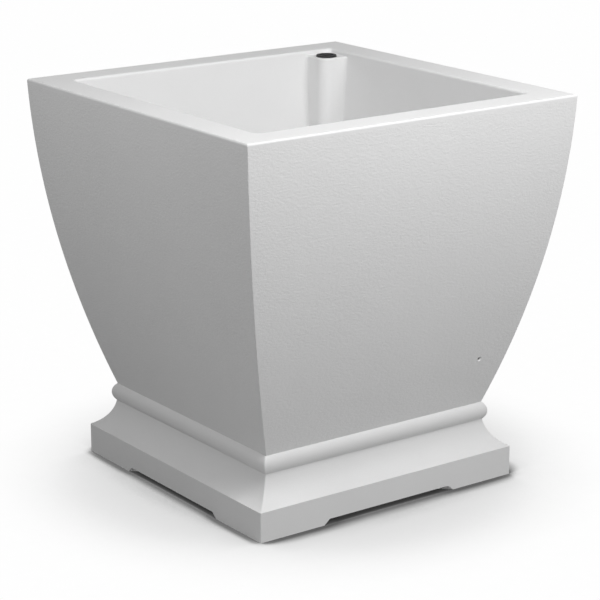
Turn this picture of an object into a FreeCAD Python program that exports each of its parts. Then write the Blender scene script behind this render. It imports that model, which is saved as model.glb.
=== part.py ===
# Square double-walled self-watering planter on a moulded pedestal. All lengths are in millimetres.
# The origin is on the floor under the middle, +Z is up, and the front face looks along -Y.
# The fill post stands in the inner corner on the +X +Y side.

import FreeCAD, Part
import Sketcher
import math
import os

sizes = {
    # The planter as a whole: its rim, the neck above the bead, and the arc of the walls between them.
    "planter_height": 515,
    "rim_width": 508,
    "neck_width": 349.5,
    "neck_height": 99.5,
    "wall_arc_radius": 1450,
    "corner_radius": 1.2,
    # Outer shell, a tank open at the top.
    "shell_wall": 4.5,
    "tank_floor": 5,
    "overflow_diameter": 4.2,
    "overflow_height": 169.5,
    "overflow_inset": 47,
    "overflow_chamfer": 1.4,
    # Inner liner with the rim.
    "rim_band": 44,
    "rim_thickness": 6,
    "rim_edge_radius": 2.8,
    "rim_lip_radius": 4,
    "skirt_depth": 12,
    "skirt_wall": 4,
    "skirt_clearance": 0.5,
    "liner_wall": 4,
    "liner_floor": 4,
    "liner_gap": 14,
    "liner_corner_radius": 7,
    "soil_floor_height": 178,
    "seep_diameter": 6,
    "seep_pitch": 44,
    # Fill post in the liner's corner.
    "post_width": 40.5,
    "post_spread": 16.5,
    "post_drop": 6.4,
    "post_corner_radius": 14,
    "post_edge_radius": 2,
    "post_blend_radius": 4,
    # Fill collar in the top of the post, and its plug.
    "collar_inset": 22.5,
    "collar_diameter": 25,
    "collar_bore": 22,
    "collar_length": 42,
    "collar_clearance": 0.3,
    "collar_flange_diameter": 29,
    "collar_flange": 0.9,
    "plug_diameter": 28.2,
    "plug_head": 1.8,
    "plug_dish_diameter": 21,
    "plug_dish": 1.1,
    "plug_edge_radius": 0.7,
    "plug_grip_width": 3.2,
    "plug_grip_drop": 0.2,
    "plug_stem_clearance": 0.4,
    "plug_stem_length": 20,
    "plug_stem_wall": 2.2,
    "plug_stem_lead": 1.5,
    # Wick cups in the liner floor.
    "cup_mouth": 70,
    "cup_foot": 58,
    "cup_wall": 2.5,
    "cup_flange_width": 6,
    "cup_flange": 3,
    "cup_wall_distance": 88,
    "cup_clearance": 0.4,
    "cup_slot_width": 3,
    "cup_slot_top": 16,
    "cup_slot_foot": 13.5,
    # Drain in the tank floor.
    "drain_diameter": 25,
    "bung_clearance": 0.3,
    "bung_flange_diameter": 38,
    "bung_flange": 4,
    "bung_stem_rise": 4,
    "bung_taper": 1.5,
    "bung_knob_diameter": 18,
    "bung_knob_length": 12,
    "bung_neck_diameter": 12,
    "bung_neck_length": 5,
    # Pedestal: bead, cove and plinth.
    "plinth_width": 405.4,
    "plinth_height": 39.25,
    "waist_width": 352,
    "bead_height": 23.5,
    "bead_radius": 15.3,
    "cove_radius": 50.35,
    "pedestal_wall": 4.5,
    "deck_thickness": 5,
    "deck_opening": 120,
    "foot_gap_width": 210,
    "foot_gap_height": 7.1,
    "foot_gap_slant": 8.5,
    "foot_end_reach": 20,
    "foot_end_thickness": 6,
    "foot_end_height": 14,
    "rib_thickness": 4,
    "rib_spacing": 184,
    "rib_reach": 45,
    "rib_toe": 4,
    "rib_foot_height": 16,
    # Screws, washers and inserts that hold the pedestal to the tank floor.
    "screw_inset": 35,
    "screw_diameter": 6,
    "screw_clearance": 0.5,
    "screw_head_diameter": 11,
    "screw_head_height": 6,
    "screw_head_edge": 0.6,
    "screw_socket_width": 5,
    "screw_socket_depth": 3,
    "washer_diameter": 18,
    "washer_thickness": 1.6,
    "insert_diameter": 9,
    "insert_length": 12,
    "insert_collar": 1.5,
    "insert_groove": 0.6,
    "insert_clearance": 0.1,
    "thread_clearance": 0.1,
    "boss_wall": 5,
    "boss_relief": 3,
    "boss_cap": 3,
    # How far each cut runs past the face that it leaves by.
    "overrun": 2,
}

counts = {"cup_slots": 12, "seeps_per_arm": 3}

places = {
    "rim_half": "sizes.rim_width / 2",
    "neck_half": "sizes.neck_width / 2",
    "waist_half": "sizes.waist_width / 2",
    "plinth_half": "sizes.plinth_width / 2",
    "mouth_half": "rim_half - sizes.rim_band",
    "seam_height": "sizes.planter_height - sizes.rim_thickness",
    "waist_height": "sizes.neck_height - sizes.bead_height",
    "tank_floor_top": "sizes.neck_height + sizes.tank_floor",
    "deck_bottom": "sizes.neck_height - sizes.deck_thickness",
    "liner_bottom": "sizes.soil_floor_height - sizes.liner_floor",
    "post_top": "sizes.planter_height - sizes.post_drop",
    # Centre of the wall's arc, from the chord between the neck and the rim.
    "arc_rise": "sizes.planter_height - sizes.neck_height",
    "arc_run": "rim_half - neck_half",
    "arc_chord": "sqrt(arc_rise ^ 2 + arc_run ^ 2)",
    "arc_depth": "sqrt(sizes.wall_arc_radius ^ 2 - arc_chord ^ 2 / 4)",
    "arc_x": "(rim_half + neck_half) / 2 - arc_depth * arc_rise / arc_chord",
    "arc_z": "(sizes.planter_height + sizes.neck_height) / 2 + arc_depth * arc_run / arc_chord",
    # Where things stand, measured from the middle.
    "tank_half": "arc_x + sqrt((sizes.wall_arc_radius - sizes.shell_wall) ^ 2 - (liner_bottom - arc_z) ^ 2)",
    "floor_half": "tank_half - sizes.liner_gap - sizes.liner_wall",
    "liner_slope": "(mouth_half - floor_half) / (sizes.planter_height - sizes.soil_floor_height)",
    "post_face": "mouth_half - sizes.post_width",
    "tub_reach": "mouth_half + sizes.liner_wall + sizes.overrun",
    "collar_place": "mouth_half - sizes.collar_inset",
    "cup_place": "floor_half - sizes.cup_wall_distance",
    "screw_place": "neck_half - sizes.screw_inset",
    "head_bottom": "deck_bottom - sizes.washer_thickness",
    # Fits.
    "insert_hole": "sizes.insert_diameter + 2 * sizes.insert_clearance",
    "insert_depth": "sizes.insert_length + sizes.boss_relief",
    "boss_diameter": "insert_hole + 2 * sizes.boss_wall",
    "screw_hole": "sizes.screw_diameter + 2 * sizes.screw_clearance",
    "screw_length": "sizes.washer_thickness + sizes.deck_thickness + sizes.insert_length",
    "drain_hole": "sizes.drain_diameter + 2 * sizes.bung_clearance",
    "cup_hole": "sizes.cup_mouth + 2 * sizes.cup_clearance",
    "cup_depth": "sizes.soil_floor_height - tank_floor_top",
    "plug_stem": "sizes.collar_bore - 2 * sizes.plug_stem_clearance",
}

corners_of_square = [(1, 1), (-1, 1), (-1, -1), (1, -1)]
outward = -1
inward = 1

doc = FreeCAD.newDocument("planter")


def add_sheet(name, cells):
    sheet = doc.addObject("Spreadsheet::Sheet", name)
    for row, (alias, content) in enumerate(cells.items(), start=1):
        sheet.set(f"A{row}", alias)
        sheet.set(f"B{row}", content)
        sheet.setAlias(f"B{row}", alias)
    return sheet


size_sheet = add_sheet("sizes", {alias: str(size) for alias, size in sizes.items()})
add_sheet("places", {alias: "=" + formula for alias, formula in places.items()})
doc.recompute()


def value(expression):
    return float(size_sheet.evalExpression(expression))


def wall_half(height, inset="0"):
    # Half the width of the flared wall at a height, or of the surface that lies inset within it.
    reach = f"(sizes.wall_arc_radius - {inset}) ^ 2 - ({height} - places.arc_z) ^ 2"
    return f"places.arc_x + sqrt({reach})"


def new_body(label):
    body = doc.addObject("PartDesign::Body", label)
    body.Label = label
    return body


def new_sketch(body, plane, lift=None):
    sketch = body.newObject("Sketcher::SketchObject", body.Name + "_sketch")
    support = next(feature for feature in body.Origin.OriginFeatures if feature.Role == plane)
    sketch.AttachmentSupport = (support, [""])
    sketch.MapMode = "FlatFace"
    if lift:
        sketch.setExpression("AttachmentOffset.Base.z", lift)
    return sketch


def bind(sketch, constraint, expression):
    index = sketch.addConstraint(constraint)
    sketch.setExpression(f"Constraints[{index}]", expression)


def pin(sketch, geometry, end, x, y):
    # Holds one point of a sketch at the place that two expressions give.
    for kind, axis, place in (("DistanceX", -2, x), ("DistanceY", -1, y)):
        if place == "0":
            sketch.addConstraint(Sketcher.Constraint("PointOnObject", geometry, end, axis))
        else:
            bind(sketch, Sketcher.Constraint(kind, -1, 1, geometry, end, value(place)), place)


def arc_middle(start, end, radius, turn):
    # The arc bulges to the left of the way from start to end when turn is 1, and to the right when -1.
    chord = end - start
    rise = radius - math.sqrt(radius ** 2 - (chord.Length / 2) ** 2)
    across = FreeCAD.Vector(-chord.y, chord.x, 0).normalize()
    return (start + end) * 0.5 + across * (turn * rise)


def outline(sketch, corners, arcs=None):
    # A closed outline through corners given as expressions. arcs maps the number of a side to its
    # radius and the way that it bulges; every other side is straight.
    arcs = arcs or {}
    spots = [FreeCAD.Vector(value(x), value(y), 0) for x, y in corners]
    sides = []
    for number, start in enumerate(spots):
        end = spots[(number + 1) % len(spots)]
        if number in arcs:
            radius, turn = arcs[number]
            side = Part.ArcOfCircle(start, arc_middle(start, end, value(radius), turn), end)
        else:
            side = Part.LineSegment(start, end)
        sides.append(sketch.addGeometry(side))

    def end_at(side, spot):
        return min((1, 2), key=lambda end: sketch.getPoint(side, end).distanceToPoint(spot))

    for number, spot in enumerate(spots):
        before = sides[number - 1]
        side = sides[number]
        here = end_at(side, spot)
        sketch.addConstraint(Sketcher.Constraint("Coincident", before, end_at(before, spot), side, here))
        pin(sketch, side, here, *corners[number])
    for number, (radius, _) in arcs.items():
        bind(sketch, Sketcher.Constraint("Radius", sides[number], value(radius)), radius)


def circle(sketch, x, y, diameter):
    centre = FreeCAD.Vector(value(x), value(y), 0)
    ring = sketch.addGeometry(Part.Circle(centre, FreeCAD.Vector(0, 0, 1), value(diameter) / 2))
    pin(sketch, ring, 3, x, y)
    bind(sketch, Sketcher.Constraint("Diameter", ring, value(diameter)), diameter)


def circles_at_corners(sketch, place, diameter):
    for along, across in corners_of_square:
        circle(sketch, f"{along} * {place}", f"{across} * {place}", diameter)


def square(sketch, half):
    outline(sketch, [(f"{along} * ({half})", f"{across} * ({half})") for along, across in corners_of_square])


def both_sides(sketch, side, arcs=None):
    # Draws the right-hand side of an upright outline, given from the bottom up, and its mirror image.
    arcs = arcs or {}
    left = [(f"-({x})", z) for x, z in reversed(side)]
    last = 2 * len(side) - 2
    mirrored = {last - number: arc for number, arc in arcs.items()}
    outline(sketch, side + left, {**arcs, **mirrored})


def extrude(body, kind, sketch, length, side="One side", reverse=False):
    feature = body.newObject("PartDesign::" + kind, body.Name + "_" + kind.lower())
    feature.Profile = sketch
    feature.setExpression("Length", length)
    feature.SideType = side
    feature.Reversed = reverse


def turned(body, corners, arcs=None):
    # A round piece about its own Z axis, from one half of its section.
    sketch = new_sketch(body, "XZ_Plane")
    outline(sketch, corners, arcs)
    feature = body.newObject("PartDesign::Revolution", body.Name + "_turned")
    feature.Profile = sketch
    feature.ReferenceAxis = (sketch, ["V_Axis"])


def cut_with(body, core):
    feature = body.newObject("PartDesign::Boolean", body.Name + "_hollow")
    feature.setObjects([core])
    feature.Type = "Cut"
    body.Tip = feature


def dress(body, kind, size_name, size, picked):
    # Rounds or bevels the edges of the body so far for which picked(edge) is true.
    doc.recompute()
    names = [f"Edge{number}" for number, edge in enumerate(body.Shape.Edges, start=1) if picked(edge)]
    base = body.Tip
    feature = body.newObject("PartDesign::" + kind, body.Name + "_" + kind.lower())
    feature.Base = (base, names)
    feature.setExpression(size_name, size)


def ends(edge):
    return [vertex.Point for vertex in edge.Vertexes]


def alike(a, b):
    # Two places count as one when they differ by less than a thousandth of a cut's overrun.
    return abs(a - b) < value("sizes.overrun") / 1000


def on_mitre(edge):
    # An edge that climbs a corner of a square block.
    points = ends(edge)
    climbs = len(points) == 2 and not alike(points[0].z, points[1].z)
    return climbs and all(alike(abs(point.x), abs(point.y)) for point in points)


def at_height(edge, expression):
    return all(alike(point.z, value(expression)) for point in ends(edge))


def square_block(body, side, arcs, reach):
    # A block with the same outline from the front and from the side, so that its faces are curved one
    # way only and meet in mitres: a pad of the front outline, less all that lies outside the side one.
    front = new_sketch(body, "XZ_Plane")
    both_sides(front, side, arcs)
    length = f"2 * ({reach} + sizes.overrun)"
    extrude(body, "Pad", front, length, "Symmetric")
    beside = new_sketch(body, "YZ_Plane")
    edge = f"{reach} + 2 * sizes.overrun"
    bottom = f"{side[0][1]} - sizes.overrun"
    top = f"{side[-1][1]} + sizes.overrun"
    both_sides(beside, [(edge, bottom), (edge, top)])
    both_sides(beside, side, arcs)
    extrude(body, "Pocket", beside, length, "Symmetric")


def place(body, x, y, z):
    for axis, expression in (("x", x), ("y", y), ("z", z)):
        body.setExpression("Placement.Base." + axis, expression)


def make_outer_shell():
    body = new_body("outer_shell")
    seam = (wall_half("places.seam_height"), "places.seam_height")
    side = [("places.neck_half", "sizes.neck_height"), seam]
    square_block(body, side, {0: ("sizes.wall_arc_radius", outward)}, "places.rim_half")
    dress(body, "Fillet", "Radius", "sizes.corner_radius", on_mitre)

    core = new_body("tank_core")
    top = "(places.seam_height + sizes.overrun)"
    inner = [
        (wall_half("places.tank_floor_top", "sizes.shell_wall"), "places.tank_floor_top"),
        (wall_half(top, "sizes.shell_wall"), top),
    ]
    arcs = {0: ("sizes.wall_arc_radius - sizes.shell_wall", outward)}
    square_block(core, inner, arcs, "places.rim_half")
    bosses = new_sketch(core, "XY_Plane", "places.tank_floor_top")
    circles_at_corners(bosses, "places.screw_place", "places.boss_diameter")
    boss_rise = "places.insert_depth + sizes.boss_cap - sizes.tank_floor"
    extrude(core, "Pocket", bosses, boss_rise, reverse=True)
    cut_with(body, core)

    holes = new_sketch(body, "XY_Plane", "sizes.neck_height")
    circles_at_corners(holes, "places.screw_place", "places.insert_hole")
    extrude(body, "Pocket", holes, "places.insert_depth", reverse=True)
    drain = new_sketch(body, "XY_Plane", "sizes.neck_height")
    circle(drain, "0", "0", "places.drain_hole")
    extrude(body, "Pocket", drain, "sizes.tank_floor + sizes.overrun", reverse=True)

    front = wall_half("sizes.overflow_height")
    overflow = new_sketch(body, "XZ_Plane")
    circle(overflow, f"{front} - sizes.overflow_inset", "sizes.overflow_height", "sizes.overflow_diameter")
    extrude(body, "Pocket", overflow, "places.rim_half", reverse=True)
    middle_of_wall = -value(f"{front} - sizes.shell_wall / 2")
    hole_reach = value("sizes.overflow_diameter")
    hole_height = value("sizes.overflow_height")

    def at_overflow(edge):
        centre = edge.BoundBox.Center
        near = abs(centre.z - hole_height) < hole_reach and edge.BoundBox.DiagonalLength < 2 * hole_reach
        return near and len(edge.Vertexes) == 1 and centre.y < middle_of_wall

    dress(body, "Chamfer", "Size", "sizes.overflow_chamfer", at_overflow)
    return body


def make_inner_liner():
    body = new_body("inner_liner")
    tub_foot = "places.floor_half + sizes.liner_wall - places.liner_slope * sizes.liner_floor"
    tub_head = "places.mouth_half + sizes.liner_wall - places.liner_slope * sizes.rim_thickness"
    side = [
        (tub_foot, "places.liner_bottom"),
        (tub_head, "places.seam_height"),
        (wall_half("places.seam_height"), "places.seam_height"),
        ("places.rim_half", "sizes.planter_height"),
    ]
    square_block(body, side, {2: ("sizes.wall_arc_radius", outward)}, "places.rim_half")
    seam = value("places.seam_height")

    def on_rim_corner(edge):
        return on_mitre(edge) and edge.BoundBox.Center.z > seam

    def on_rim_edge(edge):
        return at_height(edge, "sizes.planter_height")

    dress(body, "Fillet", "Radius", "sizes.corner_radius", on_rim_corner)
    dress(body, "Fillet", "Radius", "sizes.rim_edge_radius", on_rim_edge)

    skirt = new_sketch(body, "XY_Plane", "places.seam_height")
    skirt_end = wall_half("(places.seam_height - sizes.skirt_depth)", "sizes.shell_wall")
    square(skirt, f"{skirt_end} - sizes.skirt_clearance")
    square(skirt, f"{skirt_end} - sizes.skirt_clearance - sizes.skirt_wall")
    extrude(body, "Pad", skirt, "sizes.skirt_depth", reverse=True)

    cut_with(body, make_soil_core())

    cut_with(body, make_post("post_hollow", "sizes.liner_wall"))
    collar_hole = new_sketch(body, "XY_Plane", "places.post_top")
    hole_diameter = "sizes.collar_diameter + 2 * sizes.collar_clearance"
    circle(collar_hole, "places.collar_place", "places.collar_place", hole_diameter)
    extrude(body, "Pocket", collar_hole, "sizes.liner_wall + sizes.overrun")

    floor_holes = new_sketch(body, "XY_Plane", "sizes.soil_floor_height")
    circles_at_corners(floor_holes, "places.cup_place", "places.cup_hole")
    circle(floor_holes, "0", "0", "sizes.seep_diameter")
    for along, across in ((1, 0), (0, 1), (-1, 0), (0, -1)):
        for step in range(1, counts["seeps_per_arm"] + 1):
            x = f"{along * step} * sizes.seep_pitch" if along else "0"
            y = f"{across * step} * sizes.seep_pitch" if across else "0"
            circle(floor_holes, x, y, "sizes.seep_diameter")
    extrude(body, "Pocket", floor_holes, "sizes.liner_floor + sizes.overrun")

    rim_middle = value("places.rim_half - sizes.rim_band / 2")

    def on_lip(edge):
        inside = all(max(abs(point.x), abs(point.y)) < rim_middle for point in ends(edge))
        return inside and at_height(edge, "sizes.planter_height")

    dress(body, "Fillet", "Radius", "sizes.rim_lip_radius", on_lip)
    return body


def make_soil_core():
    # The room for soil: a tapering tub, less the fill post that stands in its corner.
    core = new_body("soil_core")
    top_half = "places.mouth_half + places.liner_slope * sizes.overrun"
    side = [
        ("places.floor_half", "sizes.soil_floor_height"),
        (top_half, "(sizes.planter_height + sizes.overrun)"),
    ]
    square_block(core, side, {}, "places.rim_half")

    def on_tub(edge):
        return on_mitre(edge) or at_height(edge, "sizes.soil_floor_height")

    dress(core, "Fillet", "Radius", "sizes.liner_corner_radius", on_tub)
    cut_with(core, make_post("post_block", "0"))
    face = value("places.post_face")
    wall = value("places.mouth_half - places.liner_slope * sizes.post_drop")

    def beside_post(edge):
        # One of the two long edges where the post runs into the walls.
        highest = max(ends(edge), key=lambda point: point.z)
        nearer, farther = sorted((highest.x, highest.y))
        climbs = alike(highest.z, value("places.post_top")) and not at_height(edge, "places.post_top")
        return climbs and alike(nearer, face) and alike(farther, wall)

    dress(core, "Fillet", "Radius", "sizes.post_blend_radius", beside_post)

    def on_post_edge(edge):
        on_wall = all(alike(max(point.x, point.y), wall) for point in ends(edge))
        return at_height(edge, "places.post_top") and not on_wall

    dress(core, "Fillet", "Radius", "sizes.post_edge_radius", on_post_edge)
    return core


def make_post(label, inset):
    # The fill post, which spreads towards its foot, or the hollow that lies inset within it.
    body = new_body(label)
    top = f"(places.post_top - {inset})"
    head = (f"places.post_face + {inset}", top)
    foot = (f"places.post_face + {inset} - sizes.post_spread", "places.liner_bottom - sizes.overrun")
    side = [foot, ("places.tub_reach", foot[1]), ("places.tub_reach", top), head]
    front = new_sketch(body, "XZ_Plane")
    outline(front, side)
    length = "2 * (places.tub_reach + sizes.overrun)"
    extrude(body, "Pad", front, length, "Symmetric")
    beside = new_sketch(body, "YZ_Plane")
    outer = "places.tub_reach + 2 * sizes.overrun"
    both_sides(beside, [(outer, f"{foot[1]} - sizes.overrun"), (outer, f"{top} + sizes.overrun")])
    outline(beside, side)
    extrude(body, "Pocket", beside, length, "Symmetric")
    middle = value("places.mouth_half")

    def on_free_corner(edge):
        return on_mitre(edge) and edge.BoundBox.Center.x < middle

    dress(body, "Fillet", "Radius", f"sizes.post_corner_radius - {inset}", on_free_corner)
    return body


def make_pedestal_base():
    body = new_body("pedestal_base")
    side = [
        ("places.plinth_half", "0"),
        ("places.plinth_half", "sizes.plinth_height"),
        ("places.waist_half", "places.waist_height"),
        ("places.neck_half", "sizes.neck_height"),
    ]
    arcs = {1: ("sizes.cove_radius", inward), 2: ("sizes.bead_radius", outward)}
    square_block(body, side, arcs, "places.plinth_half")
    cove_foot = value("sizes.plinth_height")
    cove_top = value("places.waist_height")

    def on_cove_corner(edge):
        return on_mitre(edge) and cove_foot < edge.BoundBox.Center.z < cove_top

    def on_bead_corner(edge):
        return on_mitre(edge) and edge.BoundBox.Center.z > cove_top

    def on_plinth_corner(edge):
        return on_mitre(edge) and edge.BoundBox.Center.z < cove_foot

    # The cove's corners are rounded first, then those of the bead above it and of the plinth below it.
    for on_corner in (on_cove_corner, on_bead_corner, on_plinth_corner):
        dress(body, "Fillet", "Radius", "sizes.corner_radius", on_corner)

    core = new_body("pedestal_core")
    plinth_inside = "places.plinth_half - sizes.pedestal_wall"
    waist_inside = "places.waist_half - sizes.pedestal_wall"
    inner = [
        (plinth_inside, "-sizes.overrun"),
        (plinth_inside, "sizes.plinth_height - sizes.pedestal_wall"),
        (waist_inside, "places.waist_height"),
        (waist_inside, "places.deck_bottom"),
    ]
    inner_arcs = {1: ("sizes.cove_radius + sizes.pedestal_wall", inward)}
    square_block(core, inner, inner_arcs, "places.plinth_half")
    rib = [
        (f"{plinth_inside} - sizes.rib_toe", "sizes.rib_foot_height"),
        ("places.plinth_half", "sizes.rib_foot_height"),
        ("places.plinth_half", "places.deck_bottom + sizes.overrun"),
        (f"{waist_inside} - sizes.rib_reach", "places.deck_bottom + sizes.overrun"),
    ]
    for plane in ("XZ_Plane", "YZ_Plane"):
        for sign in ("", "-"):
            ribs = new_sketch(core, plane, sign + "sizes.rib_spacing / 2")
            outline(ribs, rib)
            outline(ribs, [(f"-({x})", z) for x, z in rib])
            extrude(core, "Pocket", ribs, "sizes.rib_thickness", "Symmetric")
    cut_with(body, core)

    opening = new_sketch(body, "XY_Plane", "sizes.neck_height")
    circle(opening, "0", "0", "sizes.deck_opening")
    circles_at_corners(opening, "places.screw_place", "places.screw_hole")
    extrude(body, "Pocket", opening, "sizes.deck_thickness + sizes.overrun")
    foot_gap = [
        ("sizes.foot_gap_width / 2", "-sizes.overrun"),
        ("sizes.foot_gap_width / 2", "0"),
        ("sizes.foot_gap_width / 2 - sizes.foot_gap_slant", "sizes.foot_gap_height"),
    ]
    for plane in ("XZ_Plane", "YZ_Plane"):
        gap = new_sketch(body, plane)
        both_sides(gap, foot_gap)
        extrude(body, "Pocket", gap, "sizes.plinth_width + sizes.overrun", "Symmetric")

    # A wall that closes each end of a foot, slanting inwards so that the gap narrows behind its mouth.
    root = "sizes.pedestal_wall / 4"
    gap_end = "sizes.foot_gap_width / 2"
    foot_end = [
        (f"{gap_end} - {root}", f"places.plinth_half - {root}"),
        (f"{gap_end} - {root} + sizes.foot_end_thickness", f"places.plinth_half - {root}"),
        (
            f"{gap_end} - sizes.foot_end_reach + sizes.foot_end_thickness",
            "places.plinth_half - sizes.foot_end_reach",
        ),
        (f"{gap_end} - sizes.foot_end_reach", "places.plinth_half - sizes.foot_end_reach"),
    ]
    foot_ends = new_sketch(body, "XY_Plane")
    for along, across in corners_of_square:
        outline(foot_ends, [(f"{along} * ({far})", f"{across} * ({out})") for far, out in foot_end])
        outline(foot_ends, [(f"{along} * ({out})", f"{across} * ({far})") for far, out in foot_end])
    extrude(body, "Pad", foot_ends, "sizes.foot_end_height")
    return body


def make_fill_collar():
    body = new_body("fill_collar")
    flange = "sizes.collar_flange_diameter / 2"
    outer = "sizes.collar_diameter / 2"
    bore = "sizes.collar_bore / 2"
    turned(body, [
        (bore, "-sizes.collar_length"),
        (outer, "-sizes.collar_length"),
        (outer, "0"),
        (flange, "0"),
        (flange, "sizes.collar_flange"),
        (bore, "sizes.collar_flange"),
    ])
    place(body, "places.collar_place", "places.collar_place", "places.post_top")
    return body


def make_fill_plug():
    body = new_body("fill_plug")
    head = "sizes.plug_diameter / 2"
    stem = "places.plug_stem / 2"
    dish = "sizes.plug_dish_diameter / 2"
    dish_bottom = "sizes.plug_head - sizes.plug_dish"
    turned(body, [
        ("0", "-sizes.plug_stem_wall"),
        (f"{stem} - sizes.plug_stem_wall", "-sizes.plug_stem_wall"),
        (f"{stem} - sizes.plug_stem_wall", "-sizes.plug_stem_length"),
        (f"{stem} - sizes.plug_stem_lead", "-sizes.plug_stem_length"),
        (stem, "sizes.plug_stem_lead - sizes.plug_stem_length"),
        (stem, "0"),
        (head, "0"),
        (head, "sizes.plug_head - sizes.plug_edge_radius"),
        (f"{head} - sizes.plug_edge_radius", "sizes.plug_head"),
        (dish, "sizes.plug_head"),
        (f"{dish} - sizes.plug_dish", dish_bottom),
        ("0", dish_bottom),
    ], {7: ("sizes.plug_edge_radius", outward)})
    grip = new_sketch(body, "XY_Plane", dish_bottom)
    half_length = f"{dish} - sizes.plug_dish / 2"
    half_width = "sizes.plug_grip_width / 2"
    outline(grip, [
        (half_length, f"-({half_width})"),
        (half_length, half_width),
        (f"-({half_length})", half_width),
        (f"-({half_length})", f"-({half_width})"),
    ])
    extrude(body, "Pad", grip, "sizes.plug_dish - sizes.plug_grip_drop")
    place(body, "places.collar_place", "places.collar_place", "places.post_top + sizes.collar_flange")
    return body


def make_wick_cup(number, along, across):
    body = new_body(f"wick_cup_{number}")
    mouth = "sizes.cup_mouth / 2"
    foot = "sizes.cup_foot / 2"
    flange = f"{mouth} + sizes.cup_flange_width"
    turned(body, [
        ("0", "-places.cup_depth"),
        (foot, "-places.cup_depth"),
        (mouth, "0"),
        (flange, "0"),
        (flange, "sizes.cup_flange"),
        (f"{mouth} - sizes.cup_wall", "sizes.cup_flange"),
        (f"{foot} - sizes.cup_wall", "sizes.cup_wall - places.cup_depth"),
        ("0", "sizes.cup_wall - places.cup_depth"),
    ])
    slot = new_sketch(body, "XZ_Plane")
    both_sides(slot, [
        ("sizes.cup_slot_width / 2", "sizes.cup_slot_foot - places.cup_depth"),
        ("sizes.cup_slot_width / 2", "-sizes.cup_slot_top"),
    ])
    extrude(body, "Pocket", slot, mouth)
    around = body.newObject("PartDesign::PolarPattern", body.Name + "_slots")
    around.Originals = [body.Group[body.Group.index(around) - 1]]
    around.Axis = (slot, ["V_Axis"])
    around.Occurrences = counts["cup_slots"]
    body.Tip = around
    place(body, f"{along} * places.cup_place", f"{across} * places.cup_place", "sizes.soil_floor_height")
    return body


def make_drain_bung():
    body = new_body("drain_bung")
    stem = "sizes.drain_diameter / 2"
    flange = "sizes.bung_flange_diameter / 2"
    neck = "sizes.bung_neck_diameter / 2"
    knob = "sizes.bung_knob_diameter / 2"
    neck_end = "-(sizes.bung_flange + sizes.bung_neck_length)"
    knob_end = f"{neck_end} - sizes.bung_knob_length"
    stem_top = "sizes.tank_floor + sizes.bung_stem_rise"
    turned(body, [
        ("0", knob_end),
        (knob, knob_end),
        (knob, neck_end),
        (neck, neck_end),
        (neck, "-sizes.bung_flange"),
        (flange, "-sizes.bung_flange"),
        (flange, "0"),
        (stem, "0"),
        (stem, "sizes.tank_floor"),
        (f"{stem} - sizes.bung_taper", stem_top),
        ("0", stem_top),
    ])
    place(body, "0", "0", "sizes.neck_height")
    return body


def make_screw(number, along, across):
    body = new_body(f"base_screw_{number}")
    shank = "sizes.screw_diameter / 2"
    head = "sizes.screw_head_diameter / 2"
    turned(body, [
        ("0", "-sizes.screw_head_height"),
        (f"{head} - sizes.screw_head_edge", "-sizes.screw_head_height"),
        (head, "sizes.screw_head_edge - sizes.screw_head_height"),
        (head, "0"),
        (shank, "0"),
        (shank, "places.screw_length"),
        ("0", "places.screw_length"),
    ])
    socket = new_sketch(body, "XY_Plane", "-sizes.screw_head_height")
    across_corners = "sizes.screw_socket_width / cos(30)"
    hexagon = [(f"cos({turn}) * {across_corners} / 2", f"sin({turn}) * {across_corners} / 2")
               for turn in range(30, 390, 60)]
    outline(socket, [("0" if abs(value(x)) < 1e-9 else x, y) for x, y in hexagon])
    extrude(body, "Pocket", socket, "sizes.screw_socket_depth", reverse=True)
    place(body, f"{along} * places.screw_place", f"{across} * places.screw_place", "places.head_bottom")
    return body


def make_washer(number, along, across):
    body = new_body(f"base_washer_{number}")
    outer = "sizes.washer_diameter / 2"
    hole = "places.screw_hole / 2"
    turned(body, [
        (hole, "0"),
        (outer, "0"),
        (outer, "sizes.washer_thickness"),
        (hole, "sizes.washer_thickness"),
    ])
    place(body, f"{along} * places.screw_place", f"{across} * places.screw_place", "places.head_bottom")
    return body


def make_insert(number, along, across):
    # A bush with two plain collars and a groove between them.
    body = new_body(f"thread_insert_{number}")
    outer = "sizes.insert_diameter / 2"
    groove = f"{outer} - sizes.insert_groove"
    bore = "sizes.screw_diameter / 2 + sizes.thread_clearance"
    upper_collar = "sizes.insert_length - sizes.insert_collar"
    turned(body, [
        (bore, "0"),
        (outer, "0"),
        (outer, "sizes.insert_collar"),
        (groove, "sizes.insert_collar"),
        (groove, upper_collar),
        (outer, upper_collar),
        (outer, "sizes.insert_length"),
        (bore, "sizes.insert_length"),
    ])
    place(body, f"{along} * places.screw_place", f"{across} * places.screw_place", "sizes.neck_height")
    return body


def make_group(label, make_one):
    group = doc.addObject("Part::Compound", label)
    group.Label = label
    group.Links = at_each_corner(make_one)
    return group


def at_each_corner(make_one):
    return [make_one(number, *corner) for number, corner in enumerate(corners_of_square, start=1)]


subparts = [
    make_outer_shell(),
    make_inner_liner(),
    make_pedestal_base(),
    make_fill_collar(),
    make_fill_plug(),
    *at_each_corner(make_wick_cup),
    make_drain_bung(),
    make_group("base_screws", make_screw),
    make_group("base_washers", make_washer),
    make_group("thread_inserts", make_insert),
]
doc.recompute()

for made in doc.Objects:
    if "Invalid" in made.State or "Error" in made.State:
        raise RuntimeError(f"{made.Label} failed: {made.State}")
    if made.TypeId == "PartDesign::Pocket" and made.Shape.Volume >= made.BaseFeature.Shape.Volume:
        raise RuntimeError(f"{made.Label} cuts nothing")
for subpart in subparts:
    if subpart.Shape.isNull() or not subpart.Shape.isValid():
        raise RuntimeError(f"{subpart.Label} has no valid shape")

os.makedirs("parts", exist_ok=True)
for subpart in subparts:
    subpart.Shape.exportStep(f"parts/{subpart.Label}.step")
    print(subpart.Label, "solids", len(subpart.Shape.Solids), "volume", round(subpart.Shape.Volume))
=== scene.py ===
import math

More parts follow.
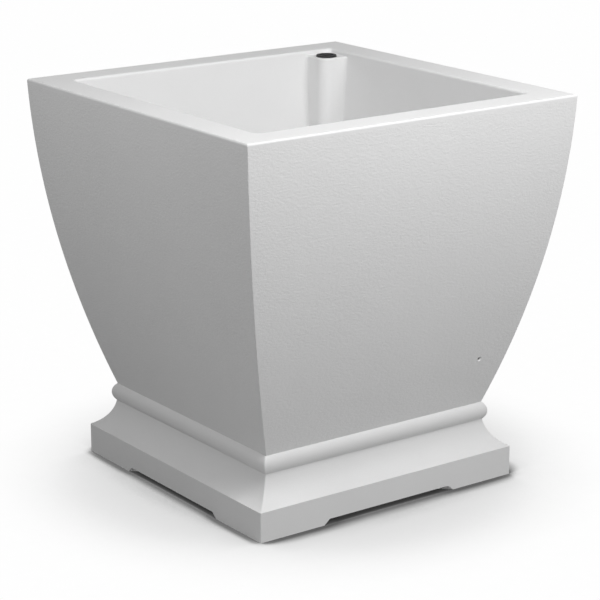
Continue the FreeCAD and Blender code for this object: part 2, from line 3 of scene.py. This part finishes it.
import bpy
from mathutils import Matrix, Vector

# Square self-watering planter in white moulded plastic, on a pale studio floor.
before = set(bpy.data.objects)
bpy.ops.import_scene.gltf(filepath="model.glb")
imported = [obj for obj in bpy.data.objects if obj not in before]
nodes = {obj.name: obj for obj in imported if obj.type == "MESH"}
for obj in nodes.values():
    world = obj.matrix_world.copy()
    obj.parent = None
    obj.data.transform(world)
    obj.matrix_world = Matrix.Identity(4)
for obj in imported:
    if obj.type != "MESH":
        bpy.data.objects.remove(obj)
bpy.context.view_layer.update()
scene = bpy.context.scene
print("frame loaded:", len(nodes), "nodes")


# small helpers for node trees
def addNode(tree, kind, **values):
    node = tree.nodes.new(kind)
    for name, value in values.items():
        setattr(node, name, value)
    return node


def feed(tree, socket, source):  # a plain value is set, an output is linked
    if isinstance(source, bpy.types.NodeSocket):
        tree.links.new(source, socket)
    else:
        socket.default_value = source


def maths(tree, operation, *sources):
    node = addNode(tree, "ShaderNodeMath", operation=operation)
    for socket, source in zip(node.inputs, sources):
        feed(tree, socket, source)
    return node.outputs["Value"]


def remap(tree, value, low, high, newLow, newHigh):
    node = addNode(tree, "ShaderNodeMapRange")
    for socket, source in zip(node.inputs, (value, low, high, newLow, newHigh)):
        feed(tree, socket, source)
    return node.outputs["Result"]


def noise(tree, place, scale, detail, roughness=0.5):
    node = addNode(tree, "ShaderNodeTexNoise")
    feed(tree, node.inputs["Vector"], place)
    feed(tree, node.inputs["Scale"], scale)
    node.inputs["Detail"].default_value = detail
    node.inputs["Roughness"].default_value = roughness
    return node.outputs["Fac"]


def perMetre(tree, size):  # a noise scale from the size of its grains
    return maths(tree, "DIVIDE", 1.0, size)


def weigh(tree, first, firstShare, second, secondShare):
    return maths(tree, "MULTIPLY_ADD", first, firstShare, maths(tree, "MULTIPLY", second, secondShare))


def newGroup(name, inputs, outputs):
    tree = bpy.data.node_groups.new(name, "ShaderNodeTree")
    for label, value in inputs.items():
        socket = tree.interface.new_socket(label, in_out="INPUT", socket_type="NodeSocketFloat")
        socket.default_value = value
    for label in outputs:
        tree.interface.new_socket(label, in_out="OUTPUT", socket_type="NodeSocketFloat")
    return tree, addNode(tree, "NodeGroupInput"), addNode(tree, "NodeGroupOutput")


# moulded skin: the fine stipple, the faint level lines and the slow mottle of moulded plastic
skinMix = {
    "flecks": (0.5, 0.5, 1.0),  # short flecks that lie level on the walls
    "stippleDetail": 2.0,
    "lineDetail": 3.0,
    "mottleDetail": 4.0,
    "mottleRoughness": 0.6,
    "cloudRange": (0.3, 0.7),
    "fineRange": (0.35, 0.65),
    "fineInTone": 0.45,
    "cloudInTone": 0.55,
    "cloudInGloss": 0.6,
    "fineInGloss": 0.4,
}


def makeMouldedSkin(mix):
    tree, given, result = newGroup(
        "mouldedSkin",
        {"Stipple Size": 0.0012, "Line Size": 0.0008, "Line Share": 0.4, "Mottle Size": 0.12},
        ("Tone", "Height", "Gloss"),
    )
    place = addNode(tree, "ShaderNodeTexCoord").outputs["Object"]
    stretch = addNode(tree, "ShaderNodeMapping")
    stretch.inputs["Scale"].default_value = mix["flecks"]
    feed(tree, stretch.inputs["Vector"], place)
    stipple = noise(tree, place, perMetre(tree, given.outputs["Stipple Size"]), mix["stippleDetail"])
    lineScale = perMetre(tree, given.outputs["Line Size"])
    lines = noise(tree, stretch.outputs["Vector"], lineScale, mix["lineDetail"])
    mottleScale = perMetre(tree, given.outputs["Mottle Size"])
    mottle = noise(tree, place, mottleScale, mix["mottleDetail"], mix["mottleRoughness"])
    plain = maths(tree, "SUBTRACT", 1.0, given.outputs["Line Share"])
    lineHeight = maths(tree, "MULTIPLY", lines, given.outputs["Line Share"])
    height = maths(tree, "MULTIPLY_ADD", stipple, plain, lineHeight)
    feed(tree, result.inputs["Height"], height)
    cloud = remap(tree, mottle, *mix["cloudRange"], 0.0, 1.0)
    fine = remap(tree, height, *mix["fineRange"], 0.0, 1.0)
    tone = weigh(tree, fine, mix["fineInTone"], cloud, mix["cloudInTone"])
    feed(tree, result.inputs["Tone"], tone)
    gloss = weigh(tree, cloud, mix["cloudInGloss"], fine, mix["fineInGloss"])
    feed(tree, result.inputs["Gloss"], gloss)
    return tree


# edge rub and sheen: 1 along sharp and rounded edges that hands and cartons polish, 0 on open faces; it
# makes them smoother and also lightens their colour, a painted highlight along the edges
edgeMix = {
    "samples": 6,
    "turnRange": (0.995, 0.90),  # cosine of how far the surface turns: none, and a whole edge
    "patchDetail": 4.0,
    "patchRoughness": 0.65,
    "patchRange": (0.3, 0.6),
    "leastRub": 0.35,
}


def makeEdgeRubAndSheen(mix):
    tree, given, result = newGroup("edgeRubAndSheen", {"Reach": 0.003, "Patch Size": 0.05}, ("Mask",))
    bevel = addNode(tree, "ShaderNodeBevel", samples=mix["samples"])
    feed(tree, bevel.inputs["Radius"], given.outputs["Reach"])
    normal = addNode(tree, "ShaderNodeNewGeometry").outputs["Normal"]
    turn = addNode(tree, "ShaderNodeVectorMath", operation="DOT_PRODUCT")
    feed(tree, turn.inputs[0], bevel.outputs["Normal"])
    feed(tree, turn.inputs[1], normal)
    edge = remap(tree, turn.outputs["Value"], *mix["turnRange"], 0.0, 1.0)
    place = addNode(tree, "ShaderNodeTexCoord").outputs["Object"]
    patchScale = perMetre(tree, given.outputs["Patch Size"])
    patch = noise(tree, place, patchScale, mix["patchDetail"], mix["patchRoughness"])
    rubbedWithSheen = remap(tree, patch, *mix["patchRange"], mix["leastRub"], 1.0)
    feed(tree, result.inputs["Mask"], maths(tree, "MULTIPLY", edge, rubbedWithSheen))
    return tree


# turned metal: hair lines left by the lathe, and handling marks
turnMix = {
    "hairs": (0.06, 0.06, 1.0),  # long lines that run level round the metal
    "lineDetail": 3.0,
    "smudgeDetail": 4.0,
    "smudgeRoughness": 0.6,
}


def makeTurnedMetal(mix):
    sizes = {"Line Size": 0.0003, "Smudge Size": 0.006}
    tree, given, result = newGroup("turnedMetal", sizes, ("Lines", "Smudge"))
    place = addNode(tree, "ShaderNodeTexCoord").outputs["Object"]
    stretch = addNode(tree, "ShaderNodeMapping")
    stretch.inputs["Scale"].default_value = mix["hairs"]
    feed(tree, stretch.inputs["Vector"], place)
    lineScale = perMetre(tree, given.outputs["Line Size"])
    feed(tree, result.inputs["Lines"], noise(tree, stretch.outputs["Vector"], lineScale, mix["lineDetail"]))
    smudgeScale = perMetre(tree, given.outputs["Smudge Size"])
    smudge = noise(tree, place, smudgeScale, mix["smudgeDetail"], mix["smudgeRoughness"])
    feed(tree, result.inputs["Smudge"], smudge)
    return tree


mouldedSkin = makeMouldedSkin(skinMix)
edgeRubAndSheen = makeEdgeRubAndSheen(edgeMix)
turnedMetal = makeTurnedMetal(turnMix)
print("node groups ready")


def placeGroup(tree, group, values):
    node = addNode(tree, "ShaderNodeGroup", node_tree=group)
    for label, value in values.items():
        node.inputs[label].default_value = value
    return node


colourSockets = {"factor": 0, "first": 6, "second": 7, "result": 2}  # where a Mix node keeps its colours


def blendColours(tree, factor, first, second, way="MIX"):
    node = addNode(tree, "ShaderNodeMix", data_type="RGBA", blend_type=way)
    feed(tree, node.inputs[colourSockets["factor"]], factor)
    feed(tree, node.inputs[colourSockets["first"]], first)
    feed(tree, node.inputs[colourSockets["second"]], second)
    return node.outputs[colourSockets["result"]]


def newMaterial(name):
    material = bpy.data.materials.new(name)
    material.use_nodes = True
    tree = material.node_tree
    return material, tree, tree.nodes["Principled BSDF"]


def bump(tree, shader, height, strength, distance):
    node = addNode(tree, "ShaderNodeBump")
    node.inputs["Strength"].default_value = strength
    node.inputs["Distance"].default_value = distance
    feed(tree, node.inputs["Height"], height)
    feed(tree, shader.inputs["Normal"], node.outputs["Normal"])


def mouldedPlastic(name, look):
    material, tree, shader = newMaterial(name)
    skin = placeGroup(tree, mouldedSkin, look["skin"])
    edge = placeGroup(tree, edgeRubAndSheen, look["edge"])
    colour = blendColours(tree, skin.outputs["Tone"], look["thin"], look["thick"])
    # painted highlight: the colour turns lighter along the edges, partly polish and partly painted sheen
    rubbedWithSheen = maths(tree, "MULTIPLY", edge.outputs["Mask"], look["sheenAndRub"])
    feed(tree, shader.inputs["Base Color"], blendColours(tree, rubbedWithSheen, colour, look["polishAndSheen"]))
    matt = remap(tree, skin.outputs["Gloss"], 0.0, 1.0, *look["roughness"])
    smooth = maths(tree, "MULTIPLY", edge.outputs["Mask"], look["smoother"])
    feed(tree, shader.inputs["Roughness"], maths(tree, "SUBTRACT", matt, smooth))
    shader.inputs["Specular IOR Level"].default_value = look["specular"]
    bump(tree, shader, skin.outputs["Height"], look["bump"], look["relief"])
    return material


def turnedMetalFinish(name, look):
    material, tree, shader = newMaterial(name)
    marks = placeGroup(tree, turnedMetal, look["marks"])
    colour = blendColours(tree, marks.outputs["Smudge"], look["bright"], look["dull"])
    feed(tree, shader.inputs["Base Color"], colour)
    matt = remap(tree, marks.outputs["Smudge"], *look["smudgeRange"], *look["roughness"])
    feed(tree, shader.inputs["Roughness"], matt)
    shader.inputs["Metallic"].default_value = 1.0
    bump(tree, shader, marks.outputs["Lines"], look["bump"], look["relief"])
    return material


# outer wall with the water tank
shellWhite = {
    "skin": {"Stipple Size": 0.0011, "Line Size": 0.0024, "Line Share": 0.75, "Mottle Size": 0.14},
    "edge": {"Reach": 0.003, "Patch Size": 0.06},
    "thin": (0.785, 0.785, 0.785, 1.0),
    "thick": (0.815, 0.815, 0.815, 1.0),
    # lighter colour along the edges: partly polish, partly a painted highlight
    "polishAndSheen": (0.84, 0.84, 0.84, 1.0),
    "sheenAndRub": 0.5,
    "roughness": (0.46, 0.54),
    "smoother": 0.10,
    "specular": 0.42,
    "bump": 0.5,
    "relief": 0.0011,
}

# rim, soil liner and fill post: the same plastic, with less of the level lines
linerWhite = dict(
    shellWhite,
    skin={"Stipple Size": 0.0012, "Line Size": 0.0012, "Line Share": 0.25, "Mottle Size": 0.11},
    bump=0.14,
)

# pedestal: a stiffer grade with a slightly coarser stipple
pedestalWhite = dict(
    shellWhite,
    skin={"Stipple Size": 0.0013, "Line Size": 0.0012, "Line Share": 0.3, "Mottle Size": 0.10},
    thin=(0.76, 0.76, 0.76, 1.0),
    thick=(0.79, 0.79, 0.79, 1.0),
    bump=0.15,
)

# fill collar and its plug
plugBlack = {
    "skin": {"Stipple Size": 0.0006, "Line Size": 0.0006, "Line Share": 0.1, "Mottle Size": 0.012},
    "edge": {"Reach": 0.0006, "Patch Size": 0.006},
    "thin": (0.014, 0.014, 0.015, 1.0),
    "thick": (0.022, 0.022, 0.023, 1.0),
    "polishAndSheen": (0.05, 0.05, 0.052, 1.0),
    "sheenAndRub": 0.6,
    "roughness": (0.36, 0.48),
    "smoother": 0.10,
    "specular": 0.5,
    "bump": 0.2,
    "relief": 0.0002,
}

# wick cups in the soil floor
cupCharcoal = {
    "skin": {"Stipple Size": 0.0009, "Line Size": 0.0008, "Line Share": 0.2, "Mottle Size": 0.03},
    "edge": {"Reach": 0.0010, "Patch Size": 0.012},
    "thin": (0.045, 0.045, 0.047, 1.0),
    "thick": (0.065, 0.065, 0.067, 1.0),
    "polishAndSheen": (0.11, 0.11, 0.112, 1.0),
    "sheenAndRub": 0.5,
    "roughness": (0.5, 0.62),
    "smoother": 0.10,
    "specular": 0.45,
    "bump": 0.25,
    "relief": 0.0003,
}

# drain bung
bungRubber = {
    "skin": {"Stipple Size": 0.0005, "Line Size": 0.0010, "Line Share": 0.1, "Mottle Size": 0.009},
    "edge": {"Reach": 0.0008, "Patch Size": 0.008},
    "thin": (0.018, 0.018, 0.018, 1.0),
    "thick": (0.034, 0.034, 0.033, 1.0),
    "polishAndSheen": (0.07, 0.07, 0.068, 1.0),
    "sheenAndRub": 0.7,
    "roughness": (0.66, 0.82),
    "smoother": 0.06,
    "specular": 0.35,
    "bump": 0.3,
    "relief": 0.0002,
}

# screws and washers
screwSteel = {
    "marks": {"Line Size": 0.0003, "Smudge Size": 0.006},
    "bright": (0.64, 0.64, 0.65, 1.0),
    "dull": (0.46, 0.46, 0.47, 1.0),
    "smudgeRange": (0.3, 0.7),
    "roughness": (0.22, 0.42),
    "bump": 0.2,
    "relief": 0.0001,
}

# threaded inserts in the bosses
insertBrass = dict(screwSteel, bright=(0.72, 0.53, 0.24, 1.0), dull=(0.52, 0.37, 0.16, 1.0))

cups = [f"wick_cup_{number}" for number in (1, 2, 3, 4)]
finishes = {
    mouldedPlastic("shellWhite", shellWhite): ["outer_shell"],
    mouldedPlastic("linerWhite", linerWhite): ["inner_liner"],
    mouldedPlastic("pedestalWhite", pedestalWhite): ["pedestal_base"],
    mouldedPlastic("plugBlack", plugBlack): ["fill_collar", "fill_plug"],
    mouldedPlastic("cupCharcoal", cupCharcoal): cups,
    mouldedPlastic("bungRubber", bungRubber): ["drain_bung"],
    turnedMetalFinish("screwSteel", screwSteel): ["base_screws", "base_washers"],
    turnedMetalFinish("insertBrass", insertBrass): ["thread_inserts"],
}
for material, names in finishes.items():
    for name in names:
        nodes[name].data.materials.clear()
        nodes[name].data.materials.append(material)
print("finishes on", sum(len(names) for names in finishes.values()), "nodes")

# pale floor, seen from above only so that the underside can be looked at too
floorLook = {
    "half": 9.0,
    "paper": (1.0, 1.0, 1.0, 1.0),
    "grain": (0.985, 0.985, 0.985, 1.0),
    "grainSize": 0.02,
    "grainDetail": 3.0,
    "thrown": (0.40, 0.40, 0.40, 1.0),  # how much of the light goes back up to the walls
    "roughness": 0.9,
    "specular": 0.1,
}

# the planter's painted shadow on the floor, from how open the floor is: within each reach, openness and the
# brightness it gives
shadowPools = [
    {
        "reach": 0.016,  # in the mouths of the gaps and close beside the feet
        "lean": (0.0, 0.0, 1.0),
        "shade": [
            (0.30, 0.85), (0.60, 0.75), (0.72, 0.55), (0.78, 0.62),
            (0.86, 0.82), (0.95, 0.97), (1.0, 1.0),
        ],
    },
    {
        "reach": 0.05,
        "lean": (-0.29, 0.0, 0.957),  # the near shadow is narrower on the side of the side box
        "shade": [
            (0.30, 0.36), (0.62, 0.42), (0.67, 0.51), (0.71, 0.62),
            (0.75, 0.78), (0.80, 0.97), (0.90, 0.98), (1.0, 1.0),
        ],
    },
    {
        "reach": 0.30,
        "lean": (0.0, 0.0, 1.0),
        "shade": [
            (0.10, 0.12), (0.30, 0.22), (0.42, 0.25), (0.50, 0.41),
            (0.55, 0.71), (0.70, 0.80), (0.80, 0.93), (0.90, 1.0),
        ],
    },
]
shadowSamples = 32


def shadowOn(tree, colour, pool):
    openness = addNode(tree, "ShaderNodeAmbientOcclusion", samples=shadowSamples)
    openness.inputs["Distance"].default_value = pool["reach"]
    lean = addNode(tree, "ShaderNodeCombineXYZ")
    for axis, share in zip(lean.inputs, pool["lean"]):
        axis.default_value = share
    feed(tree, openness.inputs["Normal"], lean.outputs["Vector"])
    ramp = addNode(tree, "ShaderNodeValToRGB")
    stops = ramp.color_ramp.elements
    while len(stops) < len(pool["shade"]):
        stops.new(0.5)  # moved to its own place below
    for stop, (position, level) in zip(stops, pool["shade"]):
        stop.position = position
        stop.color = (level, level, level, 1.0)
    feed(tree, ramp.inputs["Fac"], openness.outputs["AO"])
    return blendColours(tree, 1.0, colour, ramp.outputs["Color"], "MULTIPLY")


def makeFloor(look):
    half = look["half"]
    mesh = bpy.data.meshes.new("floor")
    corners = [(-half, -half, 0.0), (half, -half, 0.0), (half, half, 0.0), (-half, half, 0.0)]
    mesh.from_pydata(corners, [], [(0, 1, 2, 3)])
    floor = bpy.data.objects.new("floor", mesh)
    scene.collection.objects.link(floor)
    material, tree, shader = newMaterial("floorPaper")
    shader.inputs["Base Color"].default_value = look["thrown"]
    shader.inputs["Roughness"].default_value = look["roughness"]
    shader.inputs["Specular IOR Level"].default_value = look["specular"]
    place = addNode(tree, "ShaderNodeTexCoord").outputs["Object"]
    grain = noise(tree, place, 1.0 / look["grainSize"], look["grainDetail"])
    paper = blendColours(tree, grain, look["paper"], look["grain"])
    # painted shadow: each pool darkens the paper, and the camera sees it as a glowing floor; other rays
    # meet the grey floor
    for pool in shadowPools:
        paper = shadowOn(tree, paper, pool)
    glow = addNode(tree, "ShaderNodeEmission")
    feed(tree, glow.inputs["Color"], paper)
    shown = addNode(tree, "ShaderNodeMixShader")
    feed(tree, shown.inputs["Fac"], addNode(tree, "ShaderNodeLightPath").outputs["Is Camera Ray"])
    feed(tree, shown.inputs[1], shader.outputs["BSDF"])
    feed(tree, shown.inputs[2], glow.outputs["Emission"])
    clear = addNode(tree, "ShaderNodeBsdfTransparent")
    oneSided = addNode(tree, "ShaderNodeMixShader")
    feed(tree, oneSided.inputs["Fac"], addNode(tree, "ShaderNodeNewGeometry").outputs["Backfacing"])
    feed(tree, oneSided.inputs[1], shown.outputs["Shader"])
    feed(tree, oneSided.inputs[2], clear.outputs["BSDF"])
    feed(tree, tree.nodes["Material Output"].inputs["Surface"], oneSided.outputs["Shader"])
    mesh.materials.append(material)


makeFloor(floorLook)
print("floor laid")

# studio light: soft boxes that all look at the middle of the planter
boxes = {
    "keyBox": {"place": (0.17, -0.94, 1.25), "size": (0.9, 0.9), "watts": 12.6},
    "topBox": {"place": (-0.22, -0.60, 1.49), "size": (0.9, 0.9), "watts": 2.0},
    "sideBox": {"place": (-1.01, 0.04, 1.09), "size": (0.8, 0.8), "watts": 3.8},
    "backBox": {"place": (0.95, 1.15, 0.36), "size": (1.0, 0.5), "watts": 5.0},
    "underBox": {"place": (0.0, 0.0, -0.45), "size": (0.24, 0.24), "watts": 0.2, "spread": 40.0},
}
underside = ["pedestal_base", "outer_shell", "drain_bung", "base_screws", "base_washers"]
roomLight = {"colour": (1.0, 1.0, 1.0, 1.0), "strength": 0.25, "seen": 1.0}
lookAt = Vector((0.0, 0.0, 0.30))


def hangBox(name, look):
    lamp = bpy.data.lights.new(name, "AREA")
    lamp.shape = "RECTANGLE"
    lamp.size, lamp.size_y = look["size"]
    lamp.energy = look["watts"]
    box = bpy.data.objects.new(name, lamp)
    scene.collection.objects.link(box)
    box.location = look["place"]
    box.rotation_euler = (lookAt - box.location).to_track_quat("-Z", "Y").to_euler()
    box.visible_camera = False
    return box


hung = {name: hangBox(name, look) for name, look in boxes.items()}


# the box under the floor shines past the floor, and only on what is seen from below
def lightUnderside(box, spread):
    lit = bpy.data.collections.new("underside")
    for name in underside:
        lit.objects.link(nodes[name])
    box.light_linking.receiver_collection = lit
    box.light_linking.blocker_collection = lit
    box.data.spread = math.radians(spread)


lightUnderside(hung["underBox"], boxes["underBox"]["spread"])


def lightRoom(look):
    world = bpy.data.worlds.new("studio")
    world.use_nodes = True
    tree = world.node_tree
    room = tree.nodes["Background"]
    rays = addNode(tree, "ShaderNodeLightPath")
    strength = remap(tree, rays.outputs["Is Camera Ray"], 0.0, 1.0, look["strength"], look["seen"])
    room.inputs["Color"].default_value = look["colour"]
    feed(tree, room.inputs["Strength"], strength)
    scene.world = world


lightRoom(roomLight)
scene.view_settings.view_transform = "Standard"
scene.view_settings.look = "None"
print("light:", len(boxes), "soft boxes and the room")

# camera at the photograph's angle
view = {
    "place": (-1.5929, -2.1911, 1.0216),
    "turn": -36.10,  # degrees round the planter
    "height": 16.32,  # degrees above the level
    "lens": 127.84,  # mm on a 36 mm sensor
    "sensor": 36.0,
    "clip": (0.05, 60.0),
}


def setCamera(look):
    lens = bpy.data.cameras.new("camera")
    lens.lens = look["lens"]
    lens.sensor_width = look["sensor"]
    lens.clip_start, lens.clip_end = look["clip"]
    camera = bpy.data.objects.new("camera", lens)
    scene.collection.objects.link(camera)
    turn, height = math.radians(look["turn"]), math.radians(look["height"])
    level = math.cos(height)
    towards = Vector((-math.sin(turn) * level, math.cos(turn) * level, -math.sin(height)))
    camera.location = look["place"]
    camera.rotation_euler = towards.to_track_quat("-Z", "Y").to_euler()
    scene.camera = camera


setCamera(view)
print("camera set")
